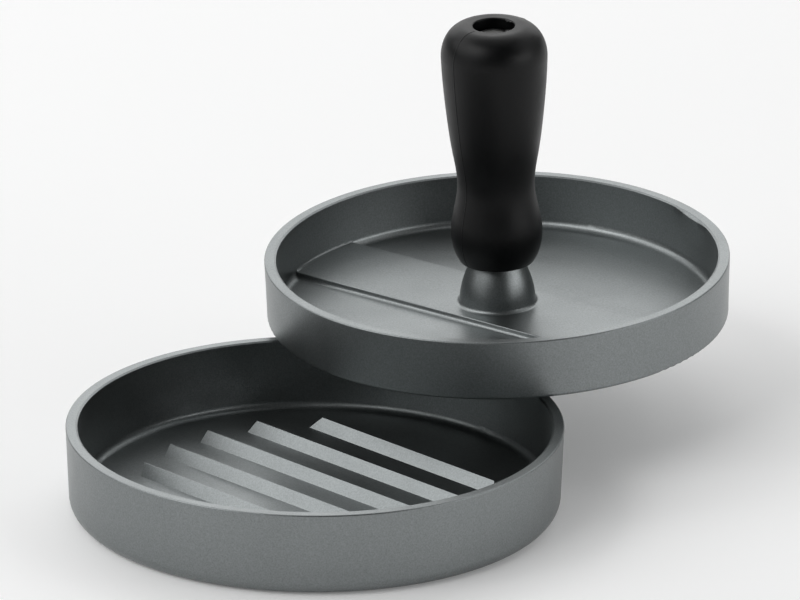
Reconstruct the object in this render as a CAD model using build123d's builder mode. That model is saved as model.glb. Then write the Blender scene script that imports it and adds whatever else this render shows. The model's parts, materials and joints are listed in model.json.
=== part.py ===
"""A cast patty press: a ridged dish and a hand press that stands across its rim.

Millimetres, +Z up.  The origin is on the dish's axis, on the face it stands on.
The press and its handle are built in their own plane, which stands across the
dish's rim, so every height on them is measured from the press's own rim.
"""
import os

from build123d import *

os.makedirs("parts", exist_ok=True)

# ---- driving dimensions -----------------------------------------------------
# dish
DISH_RADIUS = 61.0          # outside, at the rim
DISH_HEIGHT = 21.2
DISH_FOOT_RADIUS = 60.1     # outside wall, carried down to the underside
DISH_RIM = 2.9              # width of the rim, its inner bevel included
DISH_DEPTH = 17.9           # rim down to the floor
DISH_CORNER = 3.5           # round between the wall and the underside

# features both castings share
INNER_FILLET = 1.9          # between an inner wall and its floor
INNER_DRAFT = 0.3           # how much smaller an inner wall is at its floor
BEVEL_WIDTH = 0.45          # along the rim's inner edge
BEVEL_DROP = 0.3
EDGE_ROUND = 0.35           # small round on the cast edges

# ridges
RIDGE_COUNT = 6
RIDGE_PITCH = 13.25
RIDGE_HEIGHT = 2.65         # in the dish
UNDER_RIDGE_HEIGHT = 2.4    # under the press
RIDGE_HALF_WIDTH = 2.5      # at the floor
RIDGE_TOP = 0.22            # half width of the blunt crest
RIDGE_REACH = 43.9          # the ridges' ends lie on a circle of this radius
RIDGE_SHIFT = -0.8          # the row sits slightly off the centre
RIDGE_ANGLE = -45.0         # direction the ridges run in
ROOT = 0.6                  # how far a ridge or band is sunk into its floor

# press plate
PRESS_RADIUS = 58.0         # outside, at the rim; it slides into the dish
PRESS_HEIGHT = 15.4
PRESS_FOOT_RADIUS = 57.5
PRESS_RIM = 2.9
PRESS_FLOOR = 13.5          # rim down to the tray floor
PRESS_CORNER = 1.0
BAND_HALF_WIDTH = 12.1      # raised band across the tray floor
BAND_SHIFT = -1.3           # its middle line passes in front of the boss's middle
BAND_RISE = 1.4
BAND_SLOPE = 0.4            # how far each side leans out from top edge to foot
BAND_ANGLE = -36.9
BAND_EDGE = 0.25            # round along its top edges
BAND_FILLET = 0.9           # along its foot
BAND_END_FILLET = 0.6       # where its ends run into the wall
BOSS_FOOT_RADIUS = 9.6
BOSS_OUTLINE = [            # radius, height, from the press's rim plane
    (9.15, -8.4),
    (8.6, -6.2),
    (7.75, -3.8),
]
BOSS_TOP_RADIUS = 6.5
BOSS_FILLET = 0.9
TAP_RADIUS = 2.5            # M5 thread in the boss
TAP_DEPTH = 10.0

# handle
HANDLE_BOTTOM = -0.8        # all heights from the press's rim plane
HANDLE_TOP = 61.2
HANDLE_FOOT_RADIUS = 9.3
HANDLE_OUTLINE = [          # radius, height: bulge, waist and the widening grip
    (10.6, 1.8),
    (11.25, 4.6),
    (11.4, 7.3),
    (9.65, 18.2),
    (10.75, 28.0),
    (12.2, 39.0),
    (13.0, 48.0),
    (13.25, 53.3),
]
HANDLE_CROWN_RADIUS = 7.3   # flat on top, around the screw hole
HOLE_RADIUS = 5.2
HOLE_DEPTH = 8.0
CLEARANCE_RADIUS = 2.75     # for the screw's shank

# screw and washers, M5
SCREW_RADIUS = 2.5
SCREW_LENGTH = 65.0
HEAD_RADIUS = 4.75
HEAD_HEIGHT = 3.7
CROSS_WIDTH = 1.1
CROSS_SPAN = 5.0
CROSS_DEPTH = 2.1
FLAT_WASHER = (5.0, 2.65, 1.0)      # outside radius, hole radius, thickness
SPRING_WASHER = (4.6, 2.55, 1.3)
SPRING_GAP_ANGLE = 12.0

# where the press stands across the dish's rim
PRESS_CENTRE = (44.7, 67.5, 40.4)   # middle of the press's rim
PRESS_ROLL = 1.37                   # its far side is up
PRESS_TILT = -1.21                  # its right side is up

PRESS = Plane(Location(PRESS_CENTRE, (PRESS_ROLL, PRESS_TILT, 0)))
PRESS_SIDE = Plane(origin=PRESS.origin, x_dir=PRESS.x_dir, z_dir=-PRESS.y_dir)
PRESS_AXIS = Axis(PRESS.origin, PRESS.z_dir)
BAND_TOP = BAND_RISE - PRESS_FLOOR
HOLE_FLOOR = HANDLE_TOP - HOLE_DEPTH


def save(part, name):
    """Label a finished piece and write it under its node's name."""
    part.label = name
    export_step(part, f"parts/{name}.step")


def on_level(height):
    """Selects edges whose middle is this high above the press's rim plane."""
    return lambda edge: abs(PRESS.to_local_coords(edge.center()).Z - height) < 0.01


def cup_section(radius, foot, height, rim, depth, corner):
    """Half section of a shallow cup, with the rim's top edge at height 0."""
    inner = radius - rim
    floor_corner = (inner - INNER_DRAFT, -depth)
    foot_corner = (foot, -height)
    with BuildSketch(mode=Mode.PRIVATE) as section:
        with BuildLine():
            Polyline(
                (0, -height), foot_corner, (radius, 0), (inner + BEVEL_WIDTH, 0),
                (inner, -BEVEL_DROP), floor_corner, (0, -depth), (0, -height),
            )
        make_face()
        for place, size in ((foot_corner, corner), ((radius, 0), EDGE_ROUND), (floor_corner, INNER_FILLET)):
            fillet(section.vertices().sort_by_distance(place)[0], size)
    return section.sketch


def ridge_section(height):
    """Triangular ridge with a blunt crest, standing up from height 0."""
    with BuildSketch(mode=Mode.PRIVATE) as section:
        with BuildLine():
            Polyline(
                (-RIDGE_HALF_WIDTH, -ROOT), (-RIDGE_HALF_WIDTH, 0), (-RIDGE_TOP, height),
                (RIDGE_TOP, height), (RIDGE_HALF_WIDTH, 0), (RIDGE_HALF_WIDTH, -ROOT),
                (-RIDGE_HALF_WIDTH, -ROOT),
            )
        make_face()
    return section.sketch


def ridge_field(height):
    """The row of ridges, cut round at both ends, on a floor at height 0."""
    run = Plane.YZ.offset(-RIDGE_REACH)
    middle = (RIDGE_COUNT - 1) / 2
    with BuildPart(mode=Mode.PRIVATE) as field:
        with BuildSketch(run):
            with Locations([((i - middle) * RIDGE_PITCH + RIDGE_SHIFT, 0) for i in range(RIDGE_COUNT)]):
                add(ridge_section(height))
        extrude(amount=2 * RIDGE_REACH)
        with BuildSketch(Plane.XY.offset(-ROOT)):
            Circle(RIDGE_REACH)
        extrude(amount=ROOT + height, mode=Mode.INTERSECT)
    return field.part


def band_section():
    """Section of the band: rounded top edges, sloping sides and a fillet along each foot."""
    foot = BAND_HALF_WIDTH + BAND_SLOPE
    skirt = foot + 1.5 * BAND_FILLET
    with BuildSketch(mode=Mode.PRIVATE) as section:
        with BuildLine():
            Polyline(
                (-skirt, -ROOT), (skirt, -ROOT), (skirt, 0), (foot, 0), (BAND_HALF_WIDTH, BAND_RISE),
                (-BAND_HALF_WIDTH, BAND_RISE), (-foot, 0), (-skirt, 0), (-skirt, -ROOT),
            )
        make_face()
        for side in (-1, 1):
            fillet(section.vertices().sort_by_distance((side * foot, 0))[0], BAND_FILLET)
            fillet(section.vertices().sort_by_distance((side * BAND_HALF_WIDTH, BAND_RISE))[0], BAND_EDGE)
    return section.sketch


def raised_band(reach):
    """The band across the tray floor, on a floor at height 0."""
    with BuildPart(mode=Mode.PRIVATE) as band:
        with BuildSketch(Plane.YZ.offset(-reach)):
            with Locations((BAND_SHIFT, 0)):
                add(band_section())
        extrude(amount=2 * reach)
        with BuildSketch(Plane.XY.offset(-ROOT)):
            Circle(reach)
        extrude(amount=ROOT + BAND_RISE, mode=Mode.INTERSECT)
    return band.part


def band_ends(wall):
    """Concave rounds on the band's two ends, against a wall of this radius."""
    middle = (wall - BAND_END_FILLET, BAND_RISE + BAND_END_FILLET)
    with BuildPart(mode=Mode.PRIVATE) as ends:
        with BuildSketch(Plane.XZ):
            with Locations(middle):
                Rectangle(2 * BAND_END_FILLET, 2 * BAND_END_FILLET, align=(Align.MIN, Align.MAX))
                Circle(BAND_END_FILLET, mode=Mode.SUBTRACT)
        revolve(axis=Axis.Z)
        with BuildSketch(Plane.XY):
            with Locations((0, BAND_SHIFT)):
                Rectangle(3 * wall, 2 * (BAND_HALF_WIDTH - BAND_EDGE))
            Circle(wall + INNER_DRAFT, mode=Mode.INTERSECT)
        extrude(amount=2 * BAND_RISE, mode=Mode.INTERSECT)
    return ends.part


def ring(radius, hole, bottom, thickness):
    """A flat ring on the press's axis."""
    with BuildPart(mode=Mode.PRIVATE) as body:
        with BuildSketch(PRESS.offset(bottom)):
            Circle(radius)
            Circle(hole, mode=Mode.SUBTRACT)
        extrude(amount=thickness)
    return body.part


# ---- dish --------------------------------------------------------------------
dish_ridges = Location((0, 0, DISH_HEIGHT - DISH_DEPTH), (0, 0, RIDGE_ANGLE)) * ridge_field(RIDGE_HEIGHT)

with BuildPart() as dish:
    with BuildSketch(Plane.XZ):
        with Locations((0, DISH_HEIGHT)):
            add(cup_section(DISH_RADIUS, DISH_FOOT_RADIUS, DISH_HEIGHT, DISH_RIM, DISH_DEPTH, DISH_CORNER))
    revolve(axis=Axis.Z)
    add(dish_ridges)

save(dish.part, "dish")

# ---- press plate: tray, band, boss and the ridges under it --------------------
under_plane = Plane(PRESS.offset(-PRESS_HEIGHT).location * Location((0, 0, 0), (180, 0, 0)))
press_ridges = under_plane.location * Location((0, 0, 0), (0, 0, -RIDGE_ANGLE)) * ridge_field(UNDER_RIDGE_HEIGHT)
tray_plane = PRESS.offset(-PRESS_FLOOR)
tray_wall = PRESS_RADIUS - PRESS_RIM - INNER_DRAFT
band_place = tray_plane.location * Location((0, 0, 0), (0, 0, BAND_ANGLE))

with BuildPart() as press_plate:
    with BuildSketch(PRESS_SIDE):
        add(cup_section(PRESS_RADIUS, PRESS_FOOT_RADIUS, PRESS_HEIGHT, PRESS_RIM, PRESS_FLOOR, PRESS_CORNER))
    revolve(axis=PRESS_AXIS)
    add(band_place * raised_band(tray_wall + INNER_DRAFT))
    add(band_place * band_ends(tray_wall))
    with BuildSketch(PRESS_SIDE):
        with BuildLine():
            Line((BOSS_FOOT_RADIUS, BAND_TOP - EDGE_ROUND), (BOSS_FOOT_RADIUS, BAND_TOP))
            Spline((BOSS_FOOT_RADIUS, BAND_TOP), *BOSS_OUTLINE, (BOSS_TOP_RADIUS, HANDLE_BOTTOM))
            Polyline(
                (BOSS_TOP_RADIUS, HANDLE_BOTTOM), (0, HANDLE_BOTTOM),
                (0, BAND_TOP - EDGE_ROUND), (BOSS_FOOT_RADIUS, BAND_TOP - EDGE_ROUND),
            )
        make_face()
    revolve(axis=PRESS_AXIS)
    boss_foot = press_plate.edges().filter_by(GeomType.CIRCLE).filter_by(on_level(BAND_TOP))
    fillet(boss_foot.sort_by(SortBy.RADIUS)[0], BOSS_FILLET)
    add(press_ridges)
    with BuildSketch(PRESS.offset(HANDLE_BOTTOM - TAP_DEPTH)):
        Circle(TAP_RADIUS)
    extrude(amount=TAP_DEPTH, mode=Mode.SUBTRACT)

save(press_plate.part, "press_plate")

# ---- handle ------------------------------------------------------------------
grip_radius, grip_height = HANDLE_OUTLINE[-1]

with BuildPart() as handle_grip:
    with BuildSketch(PRESS_SIDE):
        with BuildLine():
            Line((0, HANDLE_BOTTOM), (HANDLE_FOOT_RADIUS, HANDLE_BOTTOM))
            Spline((HANDLE_FOOT_RADIUS, HANDLE_BOTTOM), *HANDLE_OUTLINE)
            EllipticalCenterArc(
                (HANDLE_CROWN_RADIUS, grip_height),
                grip_radius - HANDLE_CROWN_RADIUS, HANDLE_TOP - grip_height,
                start_angle=0, arc_size=90,
            )
            Line((HANDLE_CROWN_RADIUS, HANDLE_TOP), (0, HANDLE_TOP))
            Line((0, HANDLE_TOP), (0, HANDLE_BOTTOM))
        make_face()
    revolve(axis=PRESS_AXIS)
    with BuildSketch(PRESS.offset(HANDLE_BOTTOM)):
        Circle(CLEARANCE_RADIUS)
    extrude(amount=HANDLE_TOP - HANDLE_BOTTOM, mode=Mode.SUBTRACT)
    with BuildSketch(PRESS.offset(HOLE_FLOOR)):
        Circle(HOLE_RADIUS)
    extrude(amount=HOLE_DEPTH, mode=Mode.SUBTRACT)
    mouth = handle_grip.edges().filter_by(GeomType.CIRCLE).filter_by(on_level(HANDLE_TOP))
    fillet(mouth.sort_by(SortBy.RADIUS)[0], EDGE_ROUND)

save(handle_grip.part, "handle_grip")

# ---- washers and screw ---------------------------------------------------------
save(ring(FLAT_WASHER[0], FLAT_WASHER[1], HOLE_FLOOR, FLAT_WASHER[2]), "flat_washer")

spring_seat = HOLE_FLOOR + FLAT_WASHER[2]
with BuildPart() as spring_washer:
    with BuildSketch(PRESS.offset(spring_seat)):
        Circle(SPRING_WASHER[0])
        Circle(SPRING_WASHER[1], mode=Mode.SUBTRACT)
        with Locations(Location((SPRING_WASHER[0], 0), SPRING_GAP_ANGLE)):
            Rectangle(2 * SPRING_WASHER[1], 2 * EDGE_ROUND, mode=Mode.SUBTRACT)
    extrude(amount=SPRING_WASHER[2])

save(spring_washer.part, "spring_washer")

head_seat = spring_seat + SPRING_WASHER[2]
head_top = head_seat + HEAD_HEIGHT
with BuildPart() as handle_screw:
    with BuildSketch(PRESS.offset(head_seat - SCREW_LENGTH)):
        Circle(SCREW_RADIUS)
    extrude(amount=SCREW_LENGTH)
    with BuildSketch(PRESS_SIDE):
        with BuildLine():
            Polyline(
                (0, head_seat), (HEAD_RADIUS, head_seat), (HEAD_RADIUS, head_seat + HEAD_HEIGHT / 2),
            )
            Spline(
                (HEAD_RADIUS, head_seat + HEAD_HEIGHT / 2), (0, head_top),
                tangents=[(0, 1), (-1, 0)],
            )
            Line((0, head_top), (0, head_seat))
        make_face()
    revolve(axis=PRESS_AXIS)
    with BuildSketch(PRESS.offset(head_top)):
        Rectangle(CROSS_SPAN, CROSS_WIDTH)
        Rectangle(CROSS_WIDTH, CROSS_SPAN)
    extrude(amount=-CROSS_DEPTH, taper=12, mode=Mode.SUBTRACT)

save(handle_screw.part, "handle_screw")
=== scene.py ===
"""Patty press: a ridged cast dish with its hand press set down across the rim."""
import json
import math

import bpy
from mathutils import Euler, Matrix, Vector
from mathutils.bvhtree import BVHTree


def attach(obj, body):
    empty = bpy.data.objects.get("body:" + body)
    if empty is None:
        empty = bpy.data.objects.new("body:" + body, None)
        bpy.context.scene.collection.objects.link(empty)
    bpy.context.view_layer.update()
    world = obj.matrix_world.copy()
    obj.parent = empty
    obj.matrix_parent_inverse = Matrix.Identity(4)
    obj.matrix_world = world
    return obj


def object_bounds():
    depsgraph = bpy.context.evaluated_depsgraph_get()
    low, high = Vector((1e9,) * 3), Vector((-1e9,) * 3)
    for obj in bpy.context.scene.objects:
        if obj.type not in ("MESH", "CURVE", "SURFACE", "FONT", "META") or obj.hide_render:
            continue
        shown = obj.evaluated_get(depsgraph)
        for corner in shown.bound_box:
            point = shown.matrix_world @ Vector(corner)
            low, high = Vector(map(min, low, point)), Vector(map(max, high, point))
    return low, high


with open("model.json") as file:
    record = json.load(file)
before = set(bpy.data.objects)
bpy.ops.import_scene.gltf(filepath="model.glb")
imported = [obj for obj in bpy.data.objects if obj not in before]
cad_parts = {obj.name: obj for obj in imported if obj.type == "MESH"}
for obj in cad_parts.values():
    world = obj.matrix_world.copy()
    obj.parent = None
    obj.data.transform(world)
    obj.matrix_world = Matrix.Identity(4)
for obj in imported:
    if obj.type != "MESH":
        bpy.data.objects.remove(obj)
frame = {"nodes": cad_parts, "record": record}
cad_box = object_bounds()


# ---- node helpers ---------------------------------------------------------------
def new_material(name):
    """A new node material, its tree and its principled shader."""
    material = bpy.data.materials.new(name)
    material.use_nodes = True
    tree = material.node_tree
    return material, tree, tree.nodes["Principled BSDF"]


def noise(tree, coords, scale, detail=2.0):
    """Fractal noise over object coordinates."""
    node = tree.nodes.new("ShaderNodeTexNoise")
    node.inputs["Scale"].default_value = scale
    node.inputs["Detail"].default_value = detail
    tree.links.new(coords, node.inputs["Vector"])
    return node.outputs["Fac"]


def spread(tree, value, low, high, start=0.3, end=0.7):
    """A number from low to high as value goes from start to end."""
    node = tree.nodes.new("ShaderNodeMapRange")
    for socket, number in zip(("From Min", "From Max", "To Min", "To Max"), (start, end, low, high)):
        node.inputs[socket].default_value = number
    tree.links.new(value, node.inputs["Value"])
    return node.outputs["Result"]


def tint(tree, value, dark, light):
    """A colour from dark to light as value goes from 0.3 to 0.7."""
    node = tree.nodes.new("ShaderNodeValToRGB")
    for element, place, colour in zip(node.color_ramp.elements, (0.3, 0.7), (dark, light)):
        element.position = place
        element.color = (*colour, 1.0)
    tree.links.new(value, node.inputs["Fac"])
    return node.outputs["Color"]


def bump(tree, height, distance, strength=1.0, under=None):
    """A bump normal, on top of another one if given."""
    node = tree.nodes.new("ShaderNodeBump")
    node.inputs["Strength"].default_value = strength
    node.inputs["Distance"].default_value = distance
    tree.links.new(height, node.inputs["Height"])
    if under is not None:
        tree.links.new(under, node.inputs["Normal"])
    return node.outputs["Normal"]


# ---- materials ------------------------------------------------------------------
def coated_casting():
    """Satin dark metallic coating, with a sprayed grain over a cast surface."""
    material, tree, shader = new_material("coated_casting")
    coords = tree.nodes.new("ShaderNodeTexCoord").outputs["Object"]
    grain = noise(tree, coords, 2600.0, 2.0)
    cloud = noise(tree, coords, 70.0, 3.0)
    shader.inputs["Metallic"].default_value = 1.0
    colour = tint(tree, grain, (0.200, 0.214, 0.216), (0.262, 0.280, 0.282))
    tree.links.new(colour, shader.inputs["Base Color"])
    tree.links.new(spread(tree, cloud, 0.36, 0.42), shader.inputs["Roughness"])
    rough = bump(tree, grain, 0.00002)
    tree.links.new(bump(tree, cloud, 0.00006, under=rough), shader.inputs["Normal"])
    return material


def grip_plastic():
    """Black satin moulded plastic."""
    material, tree, shader = new_material("grip_plastic")
    coords = tree.nodes.new("ShaderNodeTexCoord").outputs["Object"]
    grain = noise(tree, coords, 3000.0, 2.0)
    flow = noise(tree, coords, 120.0, 2.0)
    colour = tint(tree, flow, (0.0010, 0.0012, 0.0015), (0.0020, 0.0023, 0.0027))
    tree.links.new(colour, shader.inputs["Base Color"])
    tree.links.new(spread(tree, flow, 0.38, 0.46), shader.inputs["Roughness"])
    shader.inputs["IOR"].default_value = 1.32
    tree.links.new(bump(tree, grain, 0.00002), shader.inputs["Normal"])
    return material


def plated_steel():
    """Dull zinc plating, slightly mottled."""
    material, tree, shader = new_material("plated_steel")
    coords = tree.nodes.new("ShaderNodeTexCoord").outputs["Object"]
    mottle = noise(tree, coords, 900.0, 3.0)
    shader.inputs["Metallic"].default_value = 1.0
    colour = tint(tree, mottle, (0.030, 0.030, 0.029), (0.085, 0.085, 0.082))
    tree.links.new(colour, shader.inputs["Base Color"])
    tree.links.new(spread(tree, mottle, 0.26, 0.42), shader.inputs["Roughness"])
    return material


FINISHES = {
    "coated_casting": coated_casting(),
    "grip_plastic": grip_plastic(),
    "plated_steel": plated_steel(),
}


def paint_nodes():
    """Give each carried-over node the finish of its slot."""
    for entry in frame["record"]["subparts"]:
        node = frame["nodes"][entry["node"]]
        node.data.materials.clear()
        node.data.materials.append(FINISHES[entry["material_slot"]])


# ---- the press's own frame --------------------------------------------------------
MM = 0.001
PRESS_MIDDLE = Vector((44.7, 67.5, 40.4)) * MM      # middle of its rim, as in the CAD model
PRESS_ROLL, PRESS_TILT = 1.37, -1.21                # degrees about X, then about its own Y
SHARP_ANGLE = 35                                    # edges turning more than this stay sharp
TURN = Euler((math.radians(PRESS_ROLL), math.radians(PRESS_TILT), 0), "ZYX").to_matrix()
PRESS = Matrix.Translation(PRESS_MIDDLE) @ TURN.to_4x4()


def around(radius, angle, height):
    """A point in the press's frame: radius and height in mm, angle in degrees from +X towards +Y."""
    a = math.radians(angle)
    return Vector((radius * math.cos(a), radius * math.sin(a), height)) * MM


def on_press(name, slot, rings):
    """A closed skin over rings of world points, with both ends filled, that moves with the press."""
    count = len(rings[0])
    points = [point for ring in rings for point in ring]
    faces = [tuple(range(count))[::-1], tuple(range(len(points) - count, len(points)))]
    for ring in range(len(rings) - 1):
        for i in range(count):
            low, next_low = ring * count + i, ring * count + (i + 1) % count
            faces.append((low, next_low, next_low + count, low + count))
    mesh = bpy.data.meshes.new(name)
    mesh.from_pydata(points, [], faces)
    mesh.shade_smooth()
    mesh.set_sharp_from_angle(angle=math.radians(SHARP_ANGLE))
    mesh.materials.append(FINISHES[slot])
    piece = bpy.data.objects.new(name, mesh)
    bpy.context.scene.collection.objects.link(piece)
    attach(piece, "press")


# ---- handle: parting line of the mould ---------------------------------------------
SEAM_ANGLES = (220.0, 40.0)         # the mould's two halves meet here, in the press's frame
SEAM_TOP_RADII = (5.9, 8.8)         # where each line ends on the crown, near the hole
SEAM_HALF_WIDTH = 0.22
SEAM_HEIGHT = 0.08
SEAM_SUNK = 0.05
# the bead's section: across, as a part of its half width, and rise, as a part of the way to its crest
SEAM_SECTION = [(-1, 0), (-0.7, 0.5), (-0.3, 0.9), (0.0, 1.0), (0.3, 0.9), (0.7, 0.5), (1, 0)]
CROWN_MIDDLE = 48.0                 # rays at the crown aim at this height, in mm
GRIP_FOOT = -0.5
SIDE_STEPS = 60                     # ray casts up the handle's side
CROWN_STEPS = 56                    # and over its crown, CROWN_STEP degrees apart
CROWN_STEP = 1.5
RAY_START = 0.04                    # metres from the handle's axis, clear of its side


def grip_skin():
    """The handle's surface, for ray casts."""
    mesh = frame["nodes"]["handle_grip"].data
    return BVHTree.FromPolygons([v.co for v in mesh.vertices], [p.vertices for p in mesh.polygons])


def seam_points(skin, angle, top_radius):
    """Points and normals on the handle, from its foot up to top_radius on the crown."""
    rays = [(0.0, GRIP_FOOT + (CROWN_MIDDLE - GRIP_FOOT) * step / SIDE_STEPS) for step in range(SIDE_STEPS)]
    rays += [(CROWN_STEP * step, CROWN_MIDDLE) for step in range(CROWN_STEPS)]
    found = []
    for rise, height in rays:
        e = math.radians(rise)
        out = around(math.cos(e), angle, math.sin(e)).normalized()
        start = PRESS @ (Vector((0, 0, height * MM)) + out * RAY_START)
        point, normal, _, _ = skin.ray_cast(start, TURN @ -out)
        local = PRESS.inverted() @ point
        if local.xy.length < top_radius * MM:
            break
        found.append((point, normal))
    return found


def parting_line(skin, name, angle, top_radius):
    """A fine raised bead where the halves of the mould met."""
    found = seam_points(skin, angle, top_radius)
    rings = []
    for i, (point, normal) in enumerate(found):
        along = found[min(i + 1, len(found) - 1)][0] - found[max(i - 1, 0)][0]
        side = along.cross(normal).normalized() * SEAM_HALF_WIDTH * MM
        foot, crest = -normal * SEAM_SUNK * MM, normal * SEAM_HEIGHT * MM
        rings.append([point + side * across + foot.lerp(crest, rise) for across, rise in SEAM_SECTION])
    on_press(name, "grip_plastic", rings)


# ---- handle: moulding flash around the screw's hole ----------------------------------
HANDLE_TOP = 61.2
HOLE_RADIUS = 5.2
FLASH_DROP = 0.12                   # below the handle's top
FLASH_THICKNESS = 0.14
FLASH_REACH = 1.3
FLASH_ROOT = 0.1                    # how far each fin runs into the hole's wall
FLASH_STEPS = 24
FLASH = [                           # name, start and end angle, seed of the ragged edge
    ("flash_front_left", 224.0, 262.0, 3.0),
    ("flash_front", 268.0, 300.0, 5.0),
    ("flash_right", 304.0, 326.0, 1.0),
    ("flash_back", 22.0, 58.0, 8.0),
]


def flash_fin(name, start, end, seed):
    """A thin ragged fin that stands in from the hole's mouth."""
    top = HANDLE_TOP - FLASH_DROP
    rings = []
    for step in range(FLASH_STEPS + 1):
        angle = start + (end - start) * step / FLASH_STEPS
        swell = math.sin(math.pi * step / FLASH_STEPS)
        ragged = 0.5 + 0.3 * math.sin(0.9 * step + seed) + 0.2 * math.sin(2.3 * step + 2 * seed)
        inner = HOLE_RADIUS - FLASH_REACH * swell * ragged
        lift = 0.1 * math.sin(1.7 * step + seed)
        rings.append([
            PRESS @ around(HOLE_RADIUS + FLASH_ROOT, angle, top - FLASH_THICKNESS),
            PRESS @ around(inner, angle, top - 0.7 * FLASH_THICKNESS + lift),
            PRESS @ around(inner + 0.05, angle, top + lift),
            PRESS @ around(HOLE_RADIUS + FLASH_ROOT, angle, top),
        ])
    on_press(name, "grip_plastic", rings)


# ---- press plate: the casting's inner edge swells in at one place ----------------------
RIM_INNER_RADIUS = 55.1
RIM_BEVEL = (0.45, 0.3)             # width, drop
WALL_DRAFT = 0.3 / 13.5             # how fast the inner wall closes in towards the floor
SWELL_ANGLE = 27.0
SWELL_HALF_SPAN = 10.5
SWELL_DEPTH = 0.75
SWELL_BURIED = 0.05
SWELL_FOOT = 8.0                    # below the rim, where it has faded out
SWELL_BACK = 1.0                    # how far it runs into the wall
SWELL_STEPS = 32


def rim_swell():
    """A low bulge on the inner edge of the press's rim that fades out down the wall."""
    def wall(height, bulge):
        return RIM_INNER_RADIUS + WALL_DRAFT * height + SWELL_BURIED - bulge
    rings = []
    for step in range(SWELL_STEPS + 1):
        across = 2 * step / SWELL_STEPS - 1
        bulge = (SWELL_DEPTH + SWELL_BURIED) * math.cos(math.pi / 2 * across) ** 2
        angle = SWELL_ANGLE + SWELL_HALF_SPAN * across
        edge = -RIM_BEVEL[1] - 0.2 * bulge
        section = [
            (RIM_INNER_RADIUS + RIM_BEVEL[0] + 0.15, -0.01),
            (wall(edge, bulge) + 0.08, edge),
            (wall(edge, bulge), edge - 0.12),
            (wall(-2.5, 0.8 * bulge), -2.5),
            (wall(-5.0, 0.35 * bulge), -5.0),
            (wall(-SWELL_FOOT, 0.0), -SWELL_FOOT),
            (RIM_INNER_RADIUS + SWELL_BACK, -SWELL_FOOT),
            (RIM_INNER_RADIUS + SWELL_BACK, -RIM_BEVEL[1]),
        ]
        rings.append([PRESS @ around(radius, angle, height) for radius, height in section])
    on_press("rim_swell", "coated_casting", rings)


# ---- stage ----------------------------------------------------------------------
FLOOR_SIZE = 12.0
FLOOR_GAP = 0.0001      # keeps the floor just under the dish
FLOOR_GLOW = 0.12       # lifts the shadows on the floor


def floor():
    """A plain pale floor under the dish."""
    mesh = bpy.data.meshes.new("floor")
    half = FLOOR_SIZE / 2
    corners = [(-half, -half, 0), (half, -half, 0), (half, half, 0), (-half, half, 0)]
    mesh.from_pydata(corners, [], [(0, 1, 2, 3)])
    plane = bpy.data.objects.new("floor", mesh)
    plane.location.z = cad_box[0][2] - FLOOR_GAP
    bpy.context.scene.collection.objects.link(plane)
    material, tree, shader = new_material("floor")
    shader.inputs["Base Color"].default_value = (0.88, 0.88, 0.88, 1)
    shader.inputs["Roughness"].default_value = 0.9
    shader.inputs["Specular IOR Level"].default_value = 0.1
    shader.inputs["Emission Color"].default_value = (1, 1, 1, 1)
    shader.inputs["Emission Strength"].default_value = FLOOR_GLOW
    mesh.materials.append(material)


PANEL_DISTANCE = 3.0
ROOM_LIGHT = 0.04
# name, azimuth, elevation, width, height, radiance; azimuth 0 is behind the object, 90 to its left
PANELS = [
    ("back", 0, 20, 4.0, 1.4, 1.8),
    ("back_high", 0, 50, 4.0, 1.6, 1.5),
    ("left", 80, 38, 2.6, 2.0, 1.85),
    ("right", -80, 38, 2.6, 2.0, 0.75),
    ("top", 0, 86, 2.2, 1.6, 0.6),
    ("front_left", 128, 42, 2.0, 1.6, 3.0),
    ("low_left", 115, 13, 2.6, 0.7, 0.8),
    ("low_right", -112, 13, 2.6, 0.7, 3.4),
]


def panel(name, azimuth, elevation, width, height, radiance):
    """A soft rectangular light that faces the object."""
    light = bpy.data.lights.new(name, "AREA")
    light.shape = "RECTANGLE"
    light.size, light.size_y = width, height
    light.energy = radiance * width * height * math.pi
    lamp = bpy.data.objects.new(name, light)
    a, e = math.radians(azimuth), math.radians(elevation)
    away = Vector((-math.sin(a) * math.cos(e), math.cos(a) * math.cos(e), math.sin(e)))
    lamp.location = away * PANEL_DISTANCE
    lamp.rotation_euler = away.to_track_quat("Z", "Y").to_euler()
    bpy.context.scene.collection.objects.link(lamp)


def lights():
    """Soft panels behind, over and beside the object, one at its front left, and a dim room."""
    world = bpy.data.worlds.new("room")
    bpy.context.scene.world = world
    world.use_nodes = True
    background = world.node_tree.nodes["Background"]
    background.inputs["Color"].default_value = (0.96, 1.0, 1.0, 1)
    background.inputs["Strength"].default_value = ROOM_LIGHT
    for entry in PANELS:
        panel(*entry)


# ---- camera ---------------------------------------------------------------------
ELEVATION = 20.58
ROLL = 0.30
DISTANCE = 3.0
LENS = 552.3
AIM_FROM_CENTRE = Vector((-0.00025, -0.0213, -0.0013))


def camera():
    """A long lens a little above the rims, looking along +Y."""
    centre = (Vector(cad_box[0]) + Vector(cad_box[1])) / 2
    e = math.radians(ELEVATION)
    away = Vector((0, -math.cos(e), math.sin(e)))
    data = bpy.data.cameras.new("camera")
    data.lens = LENS
    data.clip_end = 100.0
    eye = bpy.data.objects.new("camera", data)
    eye.location = centre + AIM_FROM_CENTRE + away * DISTANCE
    turn = away.to_track_quat("Z", "Y").to_matrix().to_4x4()
    roll = Matrix.Rotation(math.radians(ROLL), 4, "Z")
    eye.rotation_euler = (turn @ roll).to_euler()
    bpy.context.scene.collection.objects.link(eye)
    bpy.context.scene.camera = eye


# ---- scene ----------------------------------------------------------------------
paint_nodes()
grip = grip_skin()
for number, (angle, top_radius) in enumerate(zip(SEAM_ANGLES, SEAM_TOP_RADII)):
    parting_line(grip, f"parting_line_{number}", angle, top_radius)
for entry in FLASH:
    flash_fin(*entry)
rim_swell()
floor()
lights()
camera()
bpy.context.scene.view_settings.view_transform = "Standard"
